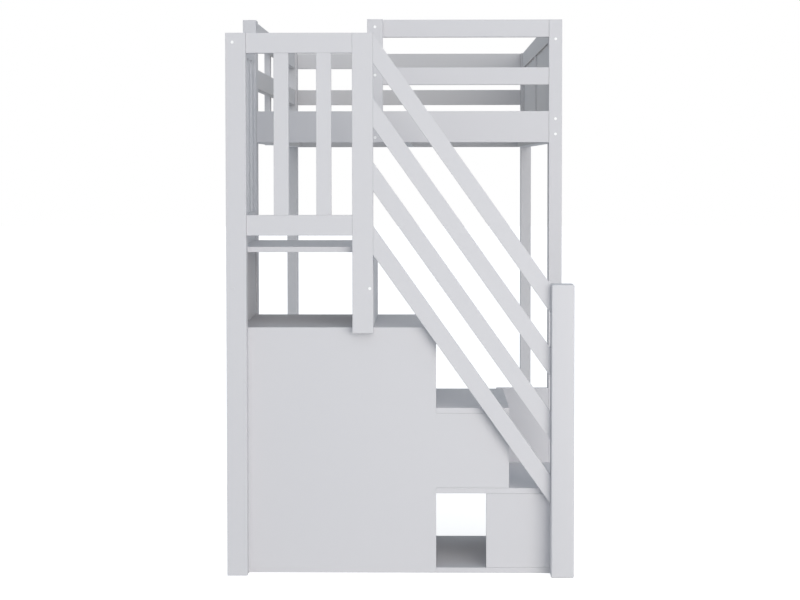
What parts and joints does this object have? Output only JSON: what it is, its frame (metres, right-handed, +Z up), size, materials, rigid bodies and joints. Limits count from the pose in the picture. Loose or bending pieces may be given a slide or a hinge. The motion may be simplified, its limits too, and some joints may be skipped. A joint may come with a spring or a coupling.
{
  "type": "loft bed with storage stair",
  "caption": "Painted wooden loft bed over open floor, with guard rails all round and a stair of stepped storage boxes, with its own slatted guard, in front of one end.",
  "frame": {"origin": "on the floor, at the middle of the rectangle round the feet and the side upright", "axes": "+Y runs from the stair down the length of the bed, +X to the right as one faces the stair, +Z up"},
  "size_m": [1.0816, 2.5546, 1.7527],
  "materials": {
    "painted_wood": "smooth pale cool grey satin paint",
    "slat_wood": "plain planed softwood, unpainted (guessed, not in view)"
  },
  "bodies": {
    "root": {"post_near_left": "painted_wood", "post_near_right": "painted_wood", "post_far_left": "painted_wood", "post_far_right": "painted_wood", "entry_post": "painted_wood", "near_top_rail": "painted_wood", "near_mid_rail": "painted_wood", "near_bed_rail": "painted_wood", "far_top_rail": "painted_wood", "far_mid_rail": "painted_wood", "far_bed_rail": "painted_wood", "left_top_rail": "painted_wood", "left_mid_rail": "painted_wood", "left_bed_rail": "painted_wood", "left_upright": "painted_wood", "right_top_rail": "painted_wood", "right_bed_rail": "painted_wood", "right_mullion": "painted_wood", "right_panel_near": "painted_wood", "right_panel_far": "painted_wood", "ledger_left": "painted_wood", "ledger_right": "painted_wood", "centre_beam": "painted_wood", "slat_roll": "slat_wood", "stair_post": "painted_wood", "newel": "painted_wood", "front_top_rail": "painted_wood", "front_low_rail": "painted_wood", "front_slat_1": "painted_wood", "front_slat_2": "painted_wood", "stile": "painted_wood", "brace_1": "painted_wood", "brace_2": "painted_wood", "brace_3": "painted_wood", "brace_4": "painted_wood", "side_top_rail": "painted_wood", "side_low_rail": "painted_wood", "side_slat_1": "painted_wood", "side_slat_2": "painted_wood", "side_slat_3": "painted_wood", "side_slat_4": "painted_wood", "stepped_front": "painted_wood", "low_front": "painted_wood", "tread_1": "painted_wood", "tread_2": "painted_wood", "tread_3": "painted_wood", "tread_4": "painted_wood", "landing_riser": "painted_wood", "side_board": "painted_wood", "bottom_tall": "painted_wood", "bottom_low": "painted_wood", "divider_tall": "painted_wood", "divider_mid": "painted_wood", "cubby_wall": "painted_wood", "end_riser": "painted_wood", "shelf_low": "painted_wood", "shelf_high": "painted_wood", "back_board": "painted_wood"}
  },
  "joints": []
}
